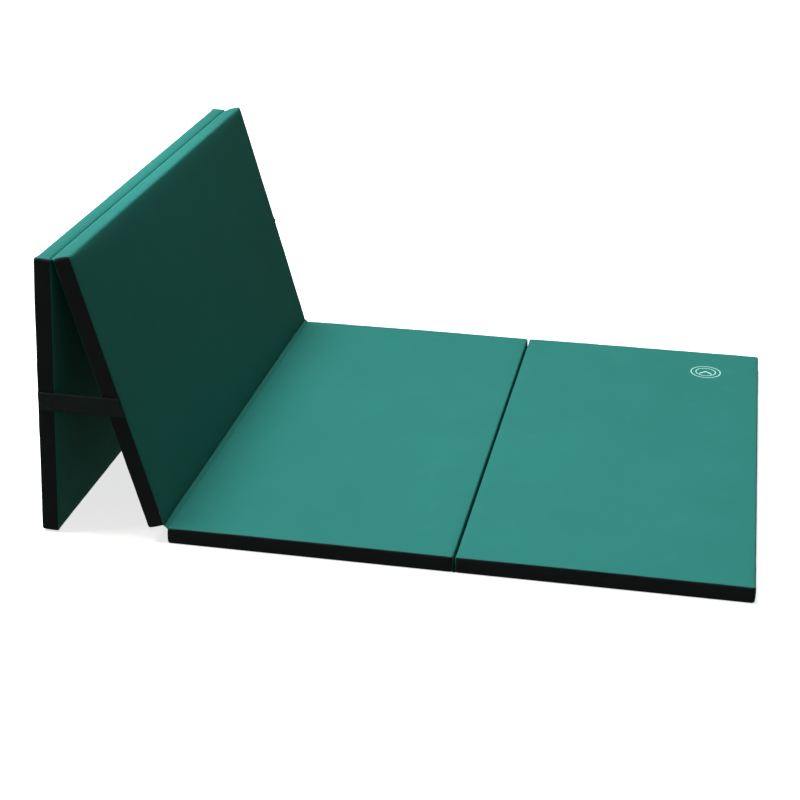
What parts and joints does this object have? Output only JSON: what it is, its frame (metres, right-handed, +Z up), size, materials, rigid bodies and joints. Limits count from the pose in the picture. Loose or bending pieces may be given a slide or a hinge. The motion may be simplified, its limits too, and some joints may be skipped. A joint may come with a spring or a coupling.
{
  "type": "folding gym mat",
  "caption": "Folding gym mat of foam panels in teal vinyl covers with black sides, accordion folds and side straps, standing half folded.",
  "frame": {"origin": "centre of the standing mat's box, on the floor", "axes": "+X along the open mat, from the propped panels to the flat ones; +Y across the mat, from its front side to its rear side; +Z up"},
  "size_m": [1.473, 1.2282, 0.6159],
  "materials": {
    "teal_vinyl": "semi-gloss coated vinyl with a fine grain",
    "black_vinyl": "satin coated vinyl",
    "fold_fabric": "coated fabric strip, semi-gloss",
    "foam_grey": "closed-cell foam, matte",
    "foam_pale": "closed-cell foam, matte",
    "webbing": "woven webbing, matte",
    "hook_tape": "stiff hook tape, matte",
    "loop_tape": "soft loop tape, matte",
    "print_ink": "printed ink, satin"
  },
  "bodies": {
    "panel_3": {"panel_3_foam_base": "foam_grey", "panel_3_foam_top": "foam_pale", "panel_3_cover": "teal_vinyl", "panel_3_underside": "teal_vinyl", "panel_3_side_front": "black_vinyl", "panel_3_side_rear": "black_vinyl", "fold_2_3_strip_on_3": "fold_fabric", "fold_3_4_strip_on_3": "fold_fabric"},
    "panel_4": {"panel_4_foam_base": "foam_grey", "panel_4_foam_top": "foam_pale", "panel_4_cover": "teal_vinyl", "panel_4_underside": "teal_vinyl", "panel_4_side_front": "black_vinyl", "panel_4_side_rear": "black_vinyl", "fold_3_4_strip_on_4": "fold_fabric", "round_mark": "print_ink"},
    "panel_2": {"panel_2_foam_base": "foam_grey", "panel_2_foam_top": "foam_pale", "panel_2_cover": "teal_vinyl", "panel_2_underside": "teal_vinyl", "panel_2_side_front": "black_vinyl", "panel_2_side_rear": "black_vinyl", "fold_1_2_strip_on_2": "fold_fabric", "fold_2_3_strip_on_2": "fold_fabric", "loop_patch_front": "loop_tape", "loop_patch_rear": "loop_tape"},
    "panel_1": {"panel_1_foam_base": "foam_grey", "panel_1_foam_top": "foam_pale", "panel_1_cover": "teal_vinyl", "panel_1_underside": "teal_vinyl", "panel_1_side_front": "black_vinyl", "panel_1_side_rear": "black_vinyl", "fold_1_2_strip_on_1": "fold_fabric", "strap_base_front": "webbing", "strap_base_rear": "webbing"},
    "strap_front": {"strap_front": "webbing", "hook_patch_front": "hook_tape"},
    "strap_rear": {"strap_rear": "webbing", "hook_patch_rear": "hook_tape"}
  },
  "joints": [
    {"name": "fold_2_3", "type": "hinge", "parent": "panel_3", "child": "panel_2", "pos_m": [-0.46398, 0, 0.039], "axis": [0, 1, 0], "range_deg": [-73.74, 106.26]},
    {"name": "fold_1_2", "type": "hinge", "parent": "panel_2", "child": "panel_1", "pos_m": [-0.67127, 0, 0.60667], "axis": [0, 1, 0], "range_deg": [-18.76, 161.24]},
    {"name": "fold_3_4", "type": "hinge", "parent": "panel_3", "child": "panel_4", "pos_m": [0.13901, 0, -0.001], "axis": [0, 1, 0], "range_deg": [0, 180]},
    {"name": "strap_front_swing", "type": "hinge", "parent": "panel_1", "child": "strap_front", "pos_m": [-0.7062, -0.613, 0.2994], "axis": [0, 1, 0], "range_deg": [-90, 15]},
    {"name": "strap_rear_swing", "type": "hinge", "parent": "panel_1", "child": "strap_rear", "pos_m": [-0.7062, 0.613, 0.2994], "axis": [0, 1, 0], "range_deg": [-90, 15]}
  ],
  "couplings": [
    {"joint": "strap_front_swing", "follows": "fold_1_2", "ratio": -0.54268},
    {"joint": "strap_rear_swing", "follows": "fold_1_2", "ratio": -0.54268}
  ]
}
